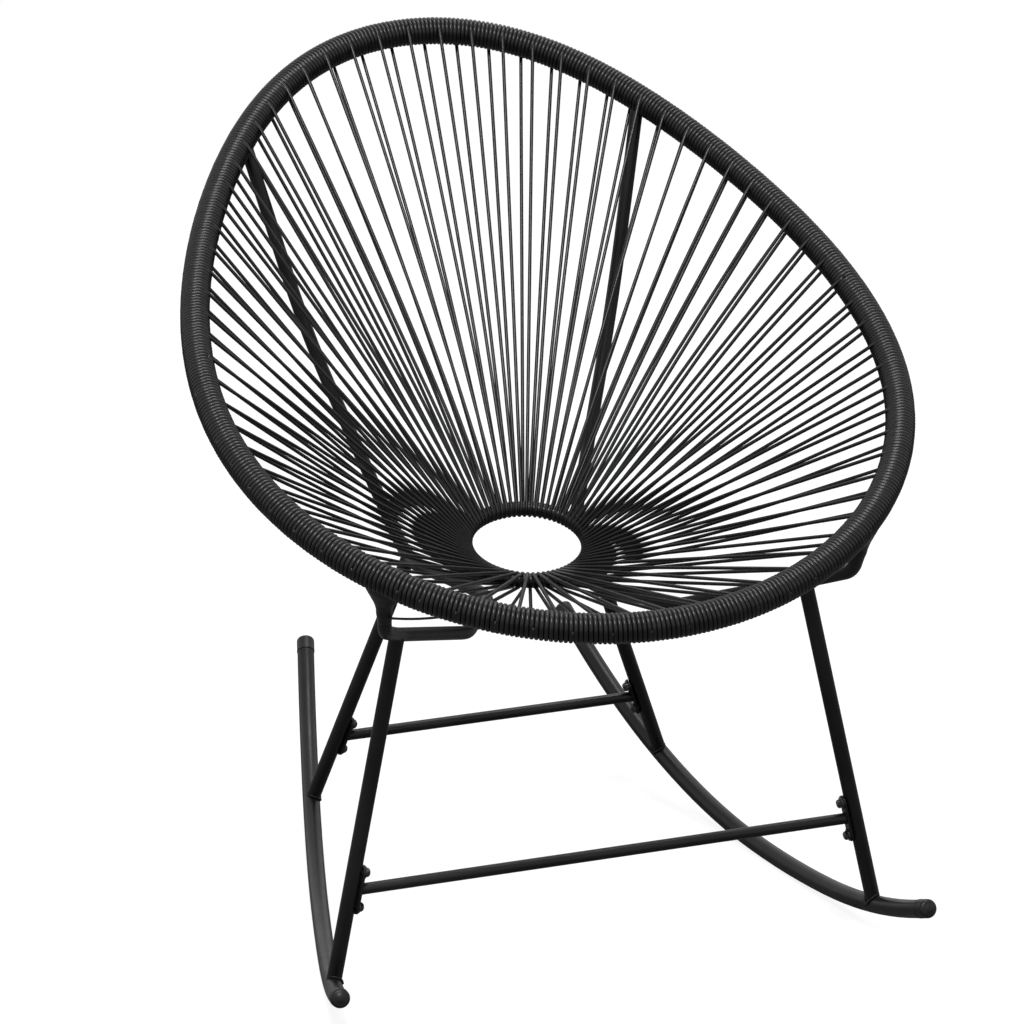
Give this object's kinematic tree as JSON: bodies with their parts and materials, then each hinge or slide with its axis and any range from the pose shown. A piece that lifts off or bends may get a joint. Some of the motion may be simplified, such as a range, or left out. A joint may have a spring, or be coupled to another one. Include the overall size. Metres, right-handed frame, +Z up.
{
  "type": "rocking chair",
  "caption": "Rocking chair with an egg-shaped hoop of bent steel tube strung with round cord to a small seat ring, on splayed legs, two crossbars and curved rockers.",
  "frame": {"origin": "on the floor, under the middle of the chair's outline", "axes": "+Z up, the sitter faces -Y, X across; left is -X, as seen by someone facing the chair"},
  "size_m": [0.73, 0.895, 0.866],
  "materials": {
    "painted_steel": "satin black coating",
    "wound_cord": "smooth black plastic cord, semi-matt",
    "strung_cord": "smooth black plastic cord, semi-matt",
    "black_fasteners": "black plated, slightly glossy",
    "wrap_tape": "smooth black plastic wrap",
    "end_cap_plastic": "moulded black plastic, satin"
  },
  "bodies": {
    "root": {"rim_hoop": "painted_steel", "rim_winding": "wound_cord", "seat_ring": "painted_steel", "ring_winding": "wound_cord", "seat_cords_upper": "strung_cord", "seat_cords_lower": "strung_cord", "front_crossbar": "painted_steel", "rear_crossbar": "painted_steel", "crossbar_bolts": "black_fasteners", "crossbar_washers": "black_fasteners", "left_side_tube": "painted_steel", "left_front_wrap": "wrap_tape", "left_rocker": "painted_steel", "left_rocker_front_cap": "end_cap_plastic", "left_rocker_rear_cap": "end_cap_plastic", "left_front_leg": "painted_steel", "left_rear_leg": "painted_steel", "left_front_plate": "painted_steel", "left_rear_plate": "painted_steel", "right_side_tube": "painted_steel", "right_front_wrap": "wrap_tape", "right_rocker": "painted_steel", "right_rocker_front_cap": "end_cap_plastic", "right_rocker_rear_cap": "end_cap_plastic", "right_front_leg": "painted_steel", "right_rear_leg": "painted_steel", "right_front_plate": "painted_steel", "right_rear_plate": "painted_steel"}
  },
  "joints": []
}
